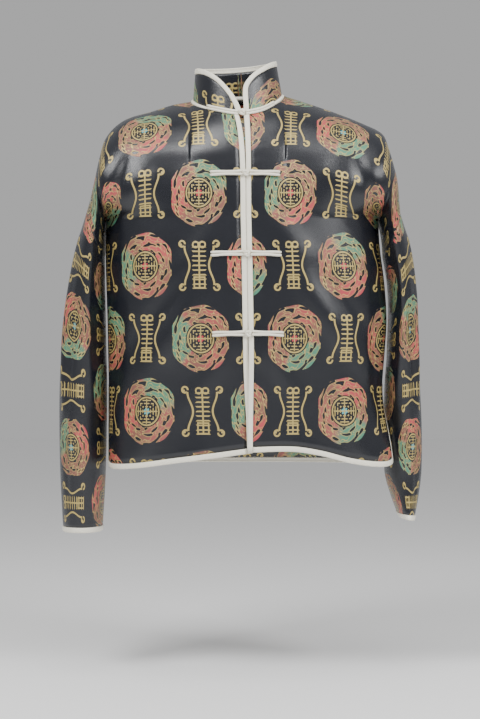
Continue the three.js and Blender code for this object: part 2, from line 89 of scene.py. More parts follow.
REPEAT_ACROSS = 90
REPEAT_DOWN = 116
FIRST_COLUMN = 13        # the pattern's first column lies this far past the centre,
FIRST_ROW = 33           # one row this far above the armpits,
SLEEVE_ROW = 197         # and on a sleeve one row this far round from the top of the arm
SLEEVE_GIRTH = 420
FOLD_GIRTH = 400         # a sleeve's turn, as its folds are measured


def table(names, *lines):
    return [dict(zip(names.split(), line)) for line in lines]


NECK_SEAM = table(
    "deg z",
    (-180, 12), (-135, 7), (-90, -3), (-50, -19), (-20, -30), (3, -35),
    (28, -29), (55, -12), (90, 6), (135, 13), (180, 12))
BODY = table(
    "down right left front back",
    (196, 228, 219, 115, 104), (245, 229, 222, 118, 102), (300, 228, 229, 119, 100),
    (361, 226, 233, 118, 100), (415, 225, 230, 116, 101), (467, 224, 226, 113, 103),
    (520, 224, 226, 111, 105), (620, 224, 229, 110, 108))
EDGES = table(
    "down right left lift",
    (196, 1.3, 1.7, 0), (262, 2.8, 3.2, 0), (330, 3.9, 4.3, 0), (359, 4.4, 4.8, 0),
    (413, 5.2, 5.7, 3.9), (467, 6.9, 5.3, 4.0), (530, 10.4, 4.4, 4.0), (600, 12.5, 3.9, 4.0))
EDGE_DRIFT = 180         # the front edges' drift dies out over this much cloth
LAP, LAP_FADE = 12, 60   # the lapping edge is lifted over LAP, and comes down over LAP_FADE
SECTION = "run out out_down in in_down mid front back"
RIGHT = dict(
    name="right", sign=-1,
    ridge=table(
        "x down",
        (91, 3), (119, 8), (154, 19), (192, 30), (214, 45), (229, 66), (236, 92),
        (244, 128), (252, 162), (259, 187)),
    seam_in=(232, 258),
    hem=table("s down", (0, 577), (50, 584), (115, 593), (190, 603), (250, 605), (298, 597)),
    sleeve=table(
        SECTION,
        (0, 259, 187, 232, 258, 0, 90, 88), (47, 276, 240, 232, 296, 4, 91, 88),
        (110, 290, 312, 231, 348, 7, 89, 86), (170, 300, 385, 230, 405, 9, 86, 84),
        (232, 305, 460, 228.5, 470, 10, 82, 80), (302, 306, 535, 229, 540, 10, 77, 76),
        (385, 304.5, 620, 231, 622, 10, 69, 68), (475, 300, 710, 236, 710, 10, 60, 59)),
    flare=(0, 0))
LEFT = dict(
    name="left", sign=1,
    ridge=table(
        "x down",
        (67, -6), (108, 7), (155, 23), (196, 40), (226, 57), (235, 80), (243, 108),
        (249, 133), (252, 163), (254, 188)),
    seam_in=(229, 262),
    hem=table("s down", (0, 576), (76, 575), (126, 582), (185, 596), (240, 601), (298, 594)),
    sleeve=table(
        SECTION,
        (0, 254, 188, 229, 262, 0, 90, 88), (46, 270, 238, 236, 300, 6, 88, 88),
        (108, 280, 312, 240, 352, 12, 84, 86), (165, 284, 385, 238, 408, 17, 80, 84),
        (232, 289, 460, 233, 470, 20, 74, 80), (302, 293, 535, 232, 540, 22, 67, 78),
        (378, 293, 613, 233, 615, 24, 61, 74), (417, 288, 653, 243, 653, 24, 62, 72),
        (455, 280, 692, 256, 688, 22, 66, 70)),
    flare=(13, 24))
COLLAR_RIGHT = table(
    "deg z",
    (5, -31), (4.5, -24), (1, -12), (-7, 5), (-24, 27), (-44, 41), (-66, 48), (-92, 51),
    (-132, 58), (-180, 63))
COLLAR_LEFT = table(
    "deg z",
    (8, -31), (8.5, -17), (8.5, 0), (11.5, 17), (24, 34), (43, 48), (64, 58), (92, 64),
    (132, 66), (180, 63))
FROGS = {"chest": 131, "waist": 259, "lower": 386}
STRAP_LENGTH = 52
KNOT = 5.8

# Folds: from (s, down) to (s, down), half-width, and height (negative is a hollow).
FRONT_FOLDS = {
    "right": [
        (70, 300, 190, 470, 26, 5.0), (105, 300, 235, 450, 20, -4.0),
        (40, 210, 150, 330, 20, 3.0), (190, 100, 235, 190, 12, -6.0),
        (160, 120, 215, 205, 14, 4.5), (150, 470, 190, 600, 22, 4.0),
        (215, 330, 262, 520, 16, -4.0), (95, 430, 105, 590, 24, -2.5),
        (30, 95, 200, 92, 14, 2.0), (25, 400, 120, 520, 18, 2.0)],
    "left": [
        (80, 280, 200, 440, 24, 5.5), (120, 280, 240, 420, 18, -4.5),
        (35, 190, 140, 300, 22, 3.0), (185, 95, 240, 195, 13, -6.0),
        (150, 125, 205, 215, 15, 4.0), (165, 450, 200, 595, 20, 4.5),
        (225, 300, 250, 540, 15, -4.5), (85, 410, 110, 580, 26, -2.5),
        (25, 90, 190, 96, 15, 2.0), (20, 380, 90, 500, 16, 2.4)]}
BACK_FOLDS = {
    "right": [
        (60, 320, 160, 500, 28, 5.0), (110, 300, 215, 460, 22, -4.0),
        (195, 105, 236, 195, 13, -5.5), (155, 130, 205, 215, 16, 4.0),
        (30, 430, 60, 600, 24, 3.5), (200, 400, 240, 590, 18, 4.0)],
    "left": [
        (50, 300, 175, 480, 26, 5.0), (120, 320, 225, 470, 20, -4.5),
        (190, 100, 238, 200, 14, -5.0), (160, 120, 210, 205, 15, 4.5),
        (70, 450, 85, 600, 22, -3.0), (210, 380, 232, 590, 17, 4.0)]}
# On a sleeve: from (round, run) to (round, run), half-width as a share of a turn, and height.
SLEEVE_FOLDS = [
    (0.10, 40, 0.17, 330, 0.030, 4.5), (0.22, 90, 0.15, 420, 0.026, -4.0),
    (0.30, 20, 0.34, 260, 0.030, 4.0), (0.62, 60, 0.70, 300, 0.035, 4.5),
    (0.85, 30, 0.80, 400, 0.030, -4.0), (0.95, 150, 0.90, 440, 0.028, 3.5)]


def clamp(x):
    return min(max(x, 0.0), 1.0)


def mix(a, b, t):
    return a + (b - a) * t


def smooth(x):
    x = clamp(x)
    return x * x * (3 - 2 * x)


def steps(start, end, count):
    return [mix(start, end, i / count) for i in range(count + 1)]


def read(rows, key, at, column):
    """A smooth curve through a table's rows, read at one value of the column key."""
    last = len(rows) - 1
    i = 0
    while i < last - 1 and at > rows[i + 1][key]:
        i += 1

    def slope(j):
        a, b = rows[max(j - 1, 0)], rows[min(j + 1, last)]
        return (b[column] - a[column]) / (b[key] - a[key])

    span = rows[i + 1][key] - rows[i][key]
    t = clamp((at - rows[i][key]) / span)
    t2, t3 = t * t, t * t * t
    return ((2 * t3 - 3 * t2 + 1) * rows[i][column] + (t3 - 2 * t2 + t) * span * slope(i)
            + (3 * t2 - 2 * t3) * rows[i + 1][column] + (t3 - t2) * span * slope(i + 1))


# ---- the jacket's surface, as its CAD panels have it ------------------------------------------

def neck(deg, out):
    turn = math.radians(deg)
    depth = NECK_FRONT if math.cos(turn) > 0 else NECK_BACK
    return Vector((NECK_X + (NECK_HALF + out) * math.sin(turn), -(depth + out) * math.cos(turn),
                   read(NECK_SEAM, "deg", deg, "z")))


for side in (RIGHT, LEFT):
    ridge = side["ridge"]
    ridge[0]["run"] = ridge[0]["x"]
    for a, b in zip(ridge, ridge[1:]):
        b["run"] = a["run"] + math.hypot(b["x"] - a["x"], b["down"] - a["down"])

SQUARE = {FRONT: 2.7, BACK: 2.5}    # how square the torso's two halves are; 2 is an ellipse
TYPICAL_TORSO = (225, 110)          # the half-width and depth that cloth is counted round


def section(face, half, depth, turn):
    power = 2 / SQUARE[face]
    across = math.copysign(half * abs(math.sin(turn)) ** power, turn)
    return across, face * depth * max(math.cos(turn), 0) ** power


TURNS = {}
for face in (FRONT, BACK):
    run, before, TURNS[face] = 0, section(face, *TYPICAL_TORSO, 0), []
    for turn in steps(0, math.pi / 2, 180):
        here = section(face, *TYPICAL_TORSO, turn)
        run += math.hypot(here[0] - before[0], here[1] - before[1])
        before = here
        TURNS[face].append((turn, run))


def turn_at(face, s):
    turns = TURNS[face]
    wanted = abs(s) / ARMPIT * turns[-1][1]
    for (t0, r0), (t1, r1) in zip(turns, turns[1:]):
        if r1 >= wanted - 1e-9:
            return math.copysign(mix(t0, t1, clamp((wanted - r0) / (r1 - r0))), s)
    return math.copysign(turns[-1][0], s)


def torso(face, side, s, down):
    half = read(BODY, "down", down, side["name"])
    depth = read(BODY, "down", down, "front" if face == FRONT else "back")
    x, y = section(face, half, depth, turn_at(face, s))
    x *= side["sign"]
    opening = (smooth((down - VENT_DOWN) / VENT_LENGTH)
               * smooth((abs(s) - VENT_SPREAD) / (ARMPIT - VENT_SPREAD)))
    y += face * VENT_GAPE * opening
    if face == FRONT:
        x += read(EDGES, "down", down, side["name"]) * (1 - smooth(s / EDGE_DRIFT))
        x += side["sign"] * side["flare"][0] * opening
        y -= side["flare"][1] * opening
        if side is LEFT:
            y -= read(EDGES, "down", down, "lift") * (1 - smooth((s - LAP) / LAP_FADE))
    return Vector((x, y, -down))


def top(face, side, s):
    start = side["ridge"][0]["x"]
    if s < start:
        centre = TOP_CENTRE["back" if face == BACK else side["name"]]
        x = mix(centre, side["sign"] * start, s / start)
        sine = min(max((x - NECK_X) / (NECK_HALF + NECK_CLEAR), -1), 1)
        turn = math.degrees(math.asin(sine))
        return neck(turn if face == FRONT else math.copysign(180, turn) - turn, NECK_CLEAR)
    return Vector((side["sign"] * read(side["ridge"], "run", s, "x"), 0,
                   -read(side["ridge"], "run", s, "down")))


def bottom(face, side, s):
    if s <= ARMPIT:
        return torso(face, side, s, CHEST_DOWN)
    part = (s - ARMPIT) / (SLEEVE_SEAM - ARMPIT)
    pit = torso(BACK, side, ARMPIT, CHEST_DOWN)
    return Vector((mix(pit.x, side["sign"] * side["seam_in"][0], 1 - (1 - part) ** 2), 0,
                   -mix(CHEST_DOWN, side["seam_in"][1], part)))


# The yoke's curve, as two handles: the shares of the way out and of the fall at each.
SLOPE = {FRONT: (0.6, 0.15, 1.02, 0.3), BACK: (0.5, 0.08, 1.0, 0.4)}


def yoke(face, start, end, t):
    ax, az, bx, bz = SLOPE[face]
    p, q, r = 3 * t * (1 - t) ** 2, 3 * t * t * (1 - t), t ** 3
    level, fall = p * ax + q * bx + r, p * az + q * bz + r
    return Vector((mix(start.x, end.x, level), mix(start.y, end.y, level),
                   mix(start.z, end.z, fall)))


def half_loop(start, end, depth, t):
    point = start.lerp(end, (1 - math.cos(math.pi * t)) / 2)
    point.y += depth * max(math.sin(math.pi * t), 0) ** 0.85
    return point


def hem_down(face, side, s):
    if face == FRONT:
        return read(side["hem"], "s", s, "down")
    return BACK_HEM - BACK_HEM_RISE * smooth((s - BACK_HEM_TURN) / (ARMPIT - BACK_HEM_TURN))


def body(face, side, s, row):
    """The outer surface. row is 0 at the top, 1 at the armpits and 2 at the hem."""
    if row <= 1:
        start, end = top(face, side, s), bottom(face, side, s)
        first = side["ridge"][0]["x"]
        arm = smooth((s - first) / (ARMPIT - first))
        depth = face * mix(SHOULDER_DEPTH, ARM_DEPTH[face],
                           clamp((s - ARMPIT) / (SLEEVE_SEAM - ARMPIT)))
        point = yoke(face, start, end, row).lerp(half_loop(start, end, depth, row), arm)
    else:
        band = hem_down(face, side, s) - HEM_BAND
        down = (mix(CHEST_DOWN, band, (row - 1) / (BAND_ROW - 1)) if row < BAND_ROW
                else band + (row - BAND_ROW) * PER_ROW)
        point = torso(face, side, s, down)
    point.y += face * SHOULDER_SEAM
    return point


def seam_plane(side):
    first = side["sleeve"][0]
    across = Vector((side["sign"] * (first["in"] - first["out"]), 0,
                     first["out_down"] - first["in_down"]))
    plane = across.cross(Vector((0, side["sign"], 0))).normalized()
    return -plane if plane.z > 0 else plane


def sleeve(side, around, run):
    """around is 0 at the top of the arm, 0.5 at the underarm, and goes down the front first."""
    def at(column):
        return read(side["sleeve"], "run", run, column)

    start = Vector((side["sign"] * at("out"), 0, -at("out_down")))
    end = Vector((side["sign"] * at("in"), 0, -at("in_down")))
    in_front = around < 0.5
    point = half_loop(start, end, -at("front") if in_front else at("back"),
                      around * 2 if in_front else 2 - around * 2)
    point.y += at("mid")
    return point + seam_plane(side) * (SEAM * (1 - smooth(run / SEAM_FADE)))


def fold_height(folds, u, v):
    """The height of all the folds at a place: each is a rounded ridge that fades at its ends."""
    total = 0
    for u0, v0, u1, v1, width, height in folds:
        du, dv = u1 - u0, v1 - v0
        along = clamp(((u - u0) * du + (v - v0) * dv) / (du * du + dv * dv))
        bow = 0.12 * math.sin(math.pi * along)
        away = math.hypot(u - u0 - du * along + bow * dv * 0.3, v - v0 - dv * along)
        ends = math.sin(math.pi * mix(0.12, 0.88, along))
        total += height * math.exp(-(away / width) ** 2) * ends
    return total


# ---- meshes ---------------------------------------------------------------------------------

def mesh(name, points, faces, uvs, material, thick=0.0):
    """An object from points in millimetres, with a map and, where asked, a wall's thickness."""
    data = bpy.data.meshes.new(name)
    data.from_pydata([tuple(p * MM) for p in points], [], faces)
    layer = data.uv_layers.new(name="Cloth")
    for loop in data.loops:
        layer.data[loop.index].uv = uvs[loop.vertex_index]
    for polygon in data.polygons:
        polygon.use_smooth = True
    data.materials.append(material)
    data.validate()
    piece = bpy.data.objects.new(name, data)
    bpy.context.collection.objects.link(piece)
    if thick:
        wall = piece.modifiers.new("Wall", "SOLIDIFY")
        wall.thickness = thick * MM
        wall.offset = -1
    return piece


def grid_faces(columns, rows, keep, flip, wraps=False):
    faces = []
    for i in range(columns - (0 if wraps else 1)):
        for j in range(rows - 1):
            if keep(i, j):
                a, b = i * rows + j, (i + 1) % columns * rows + j
                quad = (a, b, b + 1, a + 1)
                faces.append(quad[::-1] if flip else quad)
    return faces


def normals_of(points, faces):
    normals = [Vector((0, 0, 0)) for _ in points]
    for face in faces:
        a, b, c, d = (points[k] for k in face)
        normal = (c - a).cross(d - b)
        for k in face:
            normals[k] += normal
    return [n.normalized() if n.length else n for n in normals]


def sheet_piece(name, columns, rows, place, uv, lift, material, thick, flip,
                keep=lambda i, j: True, wraps=False):
    """A cloth piece over a grid: lift(u, v) moves each point out along the cloth's normal."""
    points = [place(u, v) for u in columns for v in rows]
    everywhere = grid_faces(len(columns), len(rows), lambda i, j: True, flip, wraps)
    normals = normals_of(points, everywhere)
    uvs = [uv(u, v) for u in columns for v in rows]
    places = [(u, v) for u in columns for v in rows]
    points = [p + n * lift(*at) for p, n, at in zip(points, normals, places)]
    faces = grid_faces(len(columns), len(rows), keep, flip, wraps)
    used = sorted({k for f in faces for k in f})
    number = {k: i for i, k in enumerate(used)}
    return mesh(name, [points[k] for k in used], [tuple(number[k] for k in f) for f in faces],
                [uvs[k] for k in used], material, thick)


def tube(name, paths, radius, material, sides=10):
    """Round cords along paths of points, closed at their ends, in one object."""
    points, faces, uvs = [], [], []
    for path in paths:
        base = len(points)
        run = 0
        for i, p in enumerate(path):
            ahead = (path[min(i + 1, len(path) - 1)] - path[max(i - 1, 0)]).normalized()
            side_way = ahead.cross(Vector((0.02, -1, 0.03))).normalized()
            up = side_way.cross(ahead)
            run += (p - path[max(i - 1, 0)]).length
            size = radius * (0.75 if i in (0, len(path) - 1) else 1)
            for k in range(sides):
                turn = 2 * math.pi * k / sides
                points.append(p + (side_way * math.cos(turn) + up * math.sin(turn)) * size)
                uvs.append((run / 10, k / sides))
        for i in range(len(path) - 1):
            for k in range(sides):
                a, b = base + i * sides + k, base + i * sides + (k + 1) % sides
                faces.append((a, b, b + sides, a + sides))
        faces.append(tuple(range(base + sides - 1, base - 1, -1)))
        last = base + (len(path) - 1) * sides
        faces.append(tuple(range(last, last + sides)))
    return mesh(name, points, faces, uvs, material)


# ---- shader arithmetic ------------------------------------------------------------------------

class Field:
    """A number worked out by shader nodes, so that patterns can be written as formulas."""
    tree = None

    def __init__(self, socket):
        self.socket = socket

    @classmethod
    def math(cls, operation, *values):
        node = cls.tree.nodes.new("ShaderNodeMath")
        node.operation = operation
        for k, value in enumerate(values):
            if isinstance(value, Field):
                cls.tree.links.new(value.socket, node.inputs[k])
            else:
                node.inputs[k].default_value = value
        return cls(node.outputs[0])

    def __add__(self, other):
        return Field.math("ADD", self, other)

    __radd__ = __add__

    def __sub__(self, other):
        return Field.math("SUBTRACT", self, other)

    def __rsub__(self, other):
        return Field.math("SUBTRACT", other, self)

    def __mul__(self, other):
        return Field.math("MULTIPLY", self, other)

    def __truediv__(self, other):
        return Field.math("DIVIDE", self, other)

    def __abs__(self):
        return Field.math("ABSOLUTE", self)


def below(value, limit, soft=0.35):
    """1 where value is under limit, with an edge soft millimetres wide."""
    node = Field.tree.nodes.new("ShaderNodeMapRange")
    node.interpolation_type = "SMOOTHSTEP"
    for name, number in (("From Min", limit - soft), ("From Max", limit + soft),
                         ("To Min", 1.0), ("To Max", 0.0)):
        node.inputs[name].default_value = number
    Field.tree.links.new(value.socket, node.inputs["Value"])
    return Field(node.outputs["Result"])


def sine(x):
    return Field.math("SINE", x)


def either(a, b):
    return Field.math("MAXIMUM", a, b)


def both(a, b):
    return Field.math("MINIMUM", a, b)


def distance(x, y):
    return Field.math("SQRT", x * x + y * y)


def colour_mix(share, first, second):
    node = Field.tree.nodes.new("ShaderNodeMix")
    node.data_type = "RGBA"
    for name, value in (("A", first), ("B", second)):
        socket = next(s for s in node.inputs if s.name == name and s.type == "RGBA")
        if isinstance(value, tuple):
            socket.default_value = (*value, 1)
        else:
            Field.tree.links.new(value, socket)
    Field.tree.links.new(share.socket, node.inputs["Factor"])
    return next(s for s in node.outputs if s.type == "RGBA")


def start_material(name):
    material = bpy.data.materials.new(name)
    material.use_nodes = True
    Field.tree = material.node_tree
    return material, material.node_tree.nodes["Principled BSDF"]


def bumped(shader, height, distance_m, strength=1.0):
    bump = Field.tree.nodes.new("ShaderNodeBump")
    bump.inputs["Distance"].default_value = distance_m
    bump.inputs["Strength"].default_value = strength
    Field.tree.links.new(height.socket, bump.inputs["Height"])
    Field.tree.links.new(bump.outputs["Normal"], shader.inputs["Normal"])


GOLD = (0.40, 0.29, 0.08)
BRIGHT_GOLD = (0.56, 0.44, 0.16)
CORAL = (0.43, 0.050, 0.060)
SALMON = (0.21, 0.075, 0.055)
GREEN = (0.065, 0.21, 0.13)
TEAL = (0.10, 0.36, 0.38)
GROUND = (0.005, 0.006, 0.010)
IVORY, PALE_IVORY = (0.80, 0.755, 0.61), (0.90, 0.865, 0.745)


# The brocade's motifs: a round medallion, and a long ornament between the medallions.
MEDALLION, MEDALLION_HOLE, RIM = 49.0, 23.5, 20.6
FRET, FRET_HOLE, FRET_PITCH, FLOWER = 18.3, 4.5, 4.6, 5.0
STEM_APART, STEM_BOW, STEM_HIGH = 19.5, 4.0, 31.0
CURL, CURL_X, CURL_Y = 4.6, 27.5, 34.5
POST_HIGH, BARS_HIGH, BAR_HALF, BAR_PITCH = 36.0, 37.0, 10.5, 7.4
BOX, BOX_DOWN, CROWN_X, CROWN_Y = 8.4, 27.0, 5.5, 33.0


def brocade_material():
    material, shader = start_material("brocade")
    uv = Field.tree.nodes.new("ShaderNodeUVMap")
    uv.uv_map = "Cloth"
    split = Field.tree.nodes.new("ShaderNodeSeparateXYZ")
    Field.tree.links.new(uv.outputs["UV"], split.inputs[0])
    u, v = Field(split.outputs["X"]), Field(split.outputs["Y"])
    column, row = Field.math("ROUND", u), Field.math("ROUND", v)
    x, y = (u - column) * REPEAT_ACROSS, (v - row) * REPEAT_DOWN
    is_disc = Field.math("FLOORED_MODULO", column + row, 2.0)
    is_stem = 1.0 - is_disc

    # the medallion: a ring of scrolls round a dark disc with a fret and a small flower
    tall = y * 0.925
    r = distance(x, tall)
    angle = Field.math("ARCTAN2", tall, x)
    lobed = r + sine(angle * 8.0) * 0.9
    ring = both(below(lobed, MEDALLION), 1.0 - below(r, MEDALLION_HOLE))
    swirl = sine(angle * 7.0 + sine(r * 0.42) * 2.2) * 0.6 + sine(
        r * 0.52 + sine(angle * 5.0) * 1.7) * 0.6
    cloud = sine(angle * 13.0 - sine(r * 0.31 + angle * 3.0) * 2.0)
    form = swirl + cloud * 0.45
    gaps = below(form, -0.55, 0.08)
    outline = below(abs(form + 0.32), 0.16, 0.07)
    inner = abs(form - 0.55)
    veins = below(inner, 0.09, 0.05)
    shift = column * 2.1 + row * 1.3
    patch = sine(angle + shift) + sine(angle * 2.0 - shift) * 0.5
    m = Field.math("MAXIMUM", abs(x), abs(tall))
    low = Field.math("MINIMUM", abs(x), abs(tall))
    rings = below(abs(Field.math("FRACT", m / FRET_PITCH) - 0.5), 0.17, 0.05)
    breaks = 1.0 - below(abs(low - m * 0.55), 1.3, 0.3)
    fret = both(both(both(rings, breaks), below(r, FRET)), 1.0 - below(m, FRET_HOLE))
    cross = both(below(low, 0.8), below(r, FRET))
    rim = below(abs(r - RIM), 1.1)
    flower = below(r + sine(angle * 6.0) * 0.8, FLOWER)
    disc_gold = either(either(fret, cross), rim)
    ring_gold = both(either(outline, veins), ring)

    # the long ornament: a ladder of bars on a post, between two curled stems
    ax, ay = abs(x), abs(y)
    bow = Field.math("COSINE", y * 0.105) * -STEM_BOW
    stems = both(below(abs(ax - (STEM_APART + bow)), 1.5), below(ay, STEM_HIGH))
    curls = below(abs(distance(ax - CURL_X, ay - CURL_Y) - CURL), 1.4)
    tips = below(distance(ax - 29.5, ay - 33.0), 2.0)
    curls = both(either(curls, tips), 1.0 - both(below(ax, 25.0), below(ay, 34.0)))
    post = both(below(ax, 1.2), below(ay, POST_HIGH))
    bars = both(below(abs(Field.math("FRACT", y / BAR_PITCH + 0.5) - 0.5), 0.15, 0.045),
                both(below(ax + sine(y * 0.425) * 2.6, BAR_HALF), below(ay, BARS_HIGH)))
    box = both(below(abs(Field.math("MAXIMUM", ax, abs(y + BOX_DOWN)) - BOX), 1.1),
               below(ay, 40.0))
    crown = below(abs(distance(ax - CROWN_X, y - CROWN_Y) - CURL), 1.2)
    stem_gold = either(either(either(stems, curls), either(post, bars)), either(box, crown))

    gold = either(both(either(disc_gold, ring_gold), is_disc), both(stem_gold, is_stem))
    silk = both(both(ring, 1.0 - gaps), is_disc)
    tint = colour_mix(below(patch, -0.55, 0.25), CORAL, GREEN)
    tint = colour_mix(below(abs(patch - 0.15), 0.55, 0.25), tint, SALMON)
    colour = colour_mix(silk, GROUND, tint)
    flower_tint = colour_mix(below(sine(row * math.pi / 2.0), 0.5, 0.1), TEAL, CORAL)
    colour = colour_mix(both(flower, is_disc), colour, flower_tint)
    worn = Field.tree.nodes.new("ShaderNodeTexNoise")
    worn.inputs["Scale"].default_value = 900
    worn.inputs["Detail"].default_value = 2
    gold_tint = colour_mix(Field(worn.outputs["Fac"]), BRIGHT_GOLD, GOLD)
    final = colour_mix(gold, colour, gold_tint)
    Field.tree.links.new(final, shader.inputs["Base Color"])
    figure = either(gold, silk)
    rough = 0.27 + figure * 0.20
    Field.tree.links.new(rough.socket, shader.inputs["Roughness"])
    metal = gold * 0.35
    Field.tree.links.new(metal.socket, shader.inputs["Metallic"])
    shader.inputs["Specular IOR Level"].default_value = 0.62
    shader.inputs["Anisotropic"].default_value = 0.45
    shader.inputs["Sheen Weight"].default_value = 0.03
    shader.inputs["Sheen Tint"].default_value = (0.45, 0.55, 0.8, 1)
    weave = sine(x * 9.0 + y * 4.0) * 0.10 + sine(y * 11.0) * 0.08
    bumped(shader, figure * 0.8 + gold * 0.35 + weave, 0.00018, 0.8)
    return material


def satin_material():
    material, shader = start_material("ivory_satin")
    noise = Field.tree.nodes.new("ShaderNodeTexNoise")
    noise.inputs["Scale"].default_value = 60
    noise.inputs["Detail"].default_value = 3
    tint = colour_mix(Field(noise.outputs["Fac"]), IVORY, PALE_IVORY)
    Field.tree.links.new(tint, shader.inputs["Base Color"])
    rough = Field(noise.outputs["Fac"]) * 0.15 + 0.33
    Field.tree.links.new(rough.socket, shader.inputs["Roughness"])
    shader.inputs["Sheen Weight"].default_value = 0.2
    fine = Field.tree.nodes.new("ShaderNodeTexNoise")
    fine.inputs["Scale"].default_value = 700
    bumped(shader, Field(fine.outputs["Fac"]) + Field(noise.outputs["Fac"]) * 1.5, 0.0003, 0.6)
    return material


BROCADE = brocade_material()
SATIN = satin_material()

# ---- pieces ---------------------------------------------------------------------------------


def lengths_down(face, side, s, rows):
    """Cloth down a column, counted so that the armpit level is the same in every column."""
    points = [body(face, side, s, row) for row in rows]
    run = [0]
    for a, b in zip(points, points[1:]):
        run.append(run[-1] + (b - a).length)
    pit = min(range(len(rows)), key=lambda k: abs(rows[k] - 1))
    return {row: r - run[pit] for row, r in zip(rows, run)}


def cloth_uv(side, s, below_pit):
    sign = side["sign"]
    return (sign * (s + FIRST_COLUMN) / REPEAT_ACROSS, (below_pit + FIRST_ROW) / -REPEAT_DOWN)


ROWS = steps(0, 1, 34) + steps(1, VENT_ROW, 34)[1:] + steps(VENT_ROW, BAND_ROW, 10)[1:]
BAND_ROWS = [1.93, 1.955]
PANEL_ROWS = ROWS + BAND_ROWS + [2 - (BINDING + SEAM) / PER_ROW]
INNER_VENT = ARMPIT - BINDING - SEAM


def body_columns(side, first):
    start = side["ridge"][0]["x"]
    neck_part = [start * math.sin(t) for t in steps(math.asin(first / start), math.pi / 2, 16)]
    return (neck_part + steps(start, INNER_VENT, 44)[1:] + [ARMPIT]
            + steps(ARMPIT, SLEEVE_SEAM, 14)[1:])


def keep_panel(columns, rows):
    def keep(i, j):
        s, row = max(abs(columns[i]), abs(columns[i + 1])), rows[j + 1]
        return row <= 1 or s <= INNER_VENT + 1e-6 or (s <= ARMPIT and row <= VENT_ROW + 1e-6)
    return keep


def edge_fade(s, row):
    """Folds die out at the seams, the bindings and the arm's seam."""
    at_hem = smooth((2 - row) / 0.05) if row > BAND_ROW else 1
    at_side = smooth((ARMPIT - s) / 20) if row >= 0.97 else smooth((SLEEVE_SEAM - s) / 25)
    return at_hem * at_side * smooth((s - EDGE) / 14) * smooth(row / 0.08)


PUCKER, PUCKER_TO = 0.5, 34       # the stitching along the opening draws the cloth up


def body_lift(face, side, s, row):
    folds = (FRONT_FOLDS if face == FRONT else BACK_FOLDS)[side["name"]]
    down = -body(face, side, s, row).z
    pucker = 0.0
    if face == FRONT and EDGE < s < PUCKER_TO:
        wave = math.sin(down * 0.72 + 1.3 * math.sin(down * 0.11))
        pucker = PUCKER * wave * smooth((PUCKER_TO - s) / 22)
    return fold_height(folds, s, down) * edge_fade(s, row) + pucker * smooth((s - EDGE) / 3)


pieces = {}
for side in (RIGHT, LEFT):
    name = side["name"]
    columns = body_columns(side, BINDING + SEAM)
    down_of = {s: lengths_down(FRONT, side, s, PANEL_ROWS) for s in columns}
    pieces[f"front_{name}"] = sheet_piece(
        f"Front_{name}", columns, PANEL_ROWS, lambda s, r: body(FRONT, side, s, r),
        lambda s, r: cloth_uv(side, s, down_of[s][r]),
        lambda s, r: body_lift(FRONT, side, s, r), BROCADE, CLOTH, side is LEFT,
        keep_panel(columns, PANEL_ROWS))

back_columns = ([-s for s in body_columns(RIGHT, 0)][::-1][:-1] + body_columns(LEFT, 0))


def on_back(s):
    return (RIGHT if s < 0 else LEFT), abs(s)


back_down = {s: lengths_down(BACK, *on_back(s), PANEL_ROWS) for s in back_columns}
pieces["back"] = sheet_piece(
    "Back", back_columns, PANEL_ROWS, lambda s, r: body(BACK, *on_back(s), r),
    lambda s, r: (s / REPEAT_ACROSS, (back_down[s][r] + FIRST_ROW) / -REPEAT_DOWN),
    lambda s, r: body_lift(BACK, on_back(s)[0], abs(s) + EDGE, r), BROCADE, CLOTH, False,
    keep_panel(back_columns, PANEL_ROWS))

AROUND = steps(0, 1, 88)[:-1]
TURNED_FOLDS = [(a0 * FOLD_GIRTH, r0, a1 * FOLD_GIRTH, r1, w * FOLD_GIRTH, h)
                for a0, r0, a1, r1, w, h in SLEEVE_FOLDS]


def sleeve_uv(side, a, run):
    spread = a if a <= 0.5 else a - 1
    return (side["sign"] * (SLEEVE_SEAM + run + FIRST_COLUMN) / REPEAT_ACROSS,
            (spread * SLEEVE_GIRTH - SLEEVE_ROW) / -REPEAT_DOWN)


def sleeve_lift(side, a, run):
    """Folds die out at the seam and the cuff, and on the side next to the body."""
    at_ends = smooth(run / SEAM_FADE) * smooth((side["sleeve"][-1]["run"] - run) / 40)
    beside_body = smooth(abs(a - 0.5) / 0.12)
    return fold_height(TURNED_FOLDS, a * FOLD_GIRTH, run) * at_ends * beside_body


for side in (RIGHT, LEFT):
    name = side["name"]
    length = side["sleeve"][-1]["run"]
    pieces[f"sleeve_{name}"] = sheet_piece(
        f"Sleeve_{name}", AROUND, steps(0, length - BINDING - SEAM, 96),
        lambda a, run: sleeve(side, a, run), lambda a, run: sleeve_uv(side, a, run),
        lambda a, run: sleeve_lift(side, a, run), BROCADE, CLOTH, side is RIGHT, wraps=True)


SWELL = 0.7


def puff(part):
    """How far a folded satin binding swells between its two edges."""
    return PROUD + SWELL * math.sin(math.pi * clamp(part)) ** 0.6


def plain_uv(u, v):
    return (u * 0.02, v)


for side in (RIGHT, LEFT):
    name = side["name"]
    pieces[f"front_binding_{name}"] = sheet_piece(
        f"Front_binding_{name}", steps(0, BINDING, 8), ROWS + BAND_ROWS + [1.978, 2],
        lambda s, r: body(FRONT, side, s, r), plain_uv,
        lambda s, r: puff(s / BINDING), SATIN, BINDING_WALL, side is LEFT)
    length = side["sleeve"][-1]["run"]
    pieces[f"cuff_binding_{name}"] = sheet_piece(
        f"Cuff_binding_{name}", AROUND, steps(length - BINDING, length, 6),
        lambda a, run: sleeve(side, a, run), plain_uv,
        lambda a, run: puff((length - run) / BINDING), SATIN, BINDING_WALL, side is RIGHT, wraps=True)

